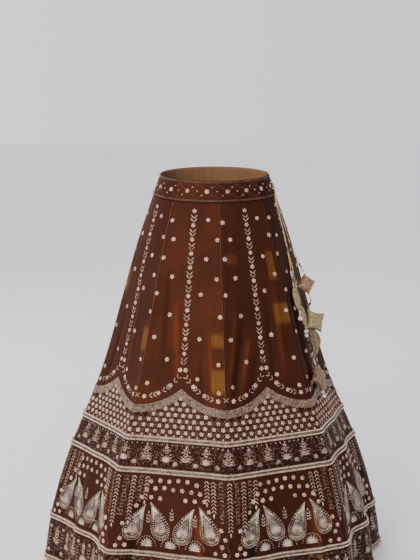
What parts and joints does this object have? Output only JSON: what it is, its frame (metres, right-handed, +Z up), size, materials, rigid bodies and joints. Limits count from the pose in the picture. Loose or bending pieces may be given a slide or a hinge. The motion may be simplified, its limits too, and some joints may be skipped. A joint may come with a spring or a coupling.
{
  "type": "lehenga skirt",
  "caption": "Floor-length flared lehenga skirt of panelled brown velvet with a scalloped beaded border, pearl laces and a drawstring that ends in stuffed tassels.",
  "frame": {"origin": "middle of the waist, at the mean height of the waistband's upper edge, where the wearer holds the skirt up", "axes": "+Z up, -Y towards the front seam, +X towards the wearer's left, where the drawstring comes out"},
  "size_m": [0.9649, 0.8673, 1.0784],
  "materials": {
    "brown_velvet": "silk velvet",
    "embroidered_waistband": "zari embroidery",
    "pearl_lace": "pearl beaded lace",
    "bead_trim": "beaded embroidery",
    "cord_silk": "silk cord",
    "gold_brocade": "gold brocade",
    "pearl": "pearl lustre"
  },
  "bodies": {
    "root": {"waistband": "embroidered_waistband", "scallop_trim": "bead_trim", "kali_1": "brown_velvet", "kali_2": "brown_velvet", "kali_3": "brown_velvet", "kali_4": "brown_velvet", "kali_5": "brown_velvet", "kali_6": "brown_velvet", "kali_7": "brown_velvet", "kali_8": "brown_velvet", "pearl_lace_upper": "pearl_lace", "pearl_lace_middle": "pearl_lace", "pearl_lace_lower": "pearl_lace", "pearl_lace_hem": "pearl_lace", "dori_long_upper": "cord_silk", "dori_long_lower": "cord_silk", "dori_short_left": "cord_silk", "dori_short_right": "cord_silk", "latkan_puff_1": "gold_brocade", "latkan_puff_2": "gold_brocade", "latkan_puff_3": "gold_brocade", "latkan_leaf_1": "gold_brocade", "latkan_leaf_2": "gold_brocade", "latkan_tail": "gold_brocade", "latkan_drop_leaf_1_pearl_1": "pearl", "latkan_drop_leaf_1_pearl_2": "pearl", "latkan_drop_leaf_1_pearl_3": "pearl", "latkan_drop_leaf_2_pearl_1": "pearl", "latkan_drop_leaf_2_pearl_2": "pearl", "latkan_drop_leaf_2_pearl_3": "pearl", "latkan_drop_puff_3_pearl_1": "pearl", "latkan_drop_puff_3_pearl_2": "pearl", "latkan_link_pearl_1": "pearl", "latkan_link_pearl_2": "pearl", "latkan_link_pearl_3": "pearl"}
  },
  "joints": []
}
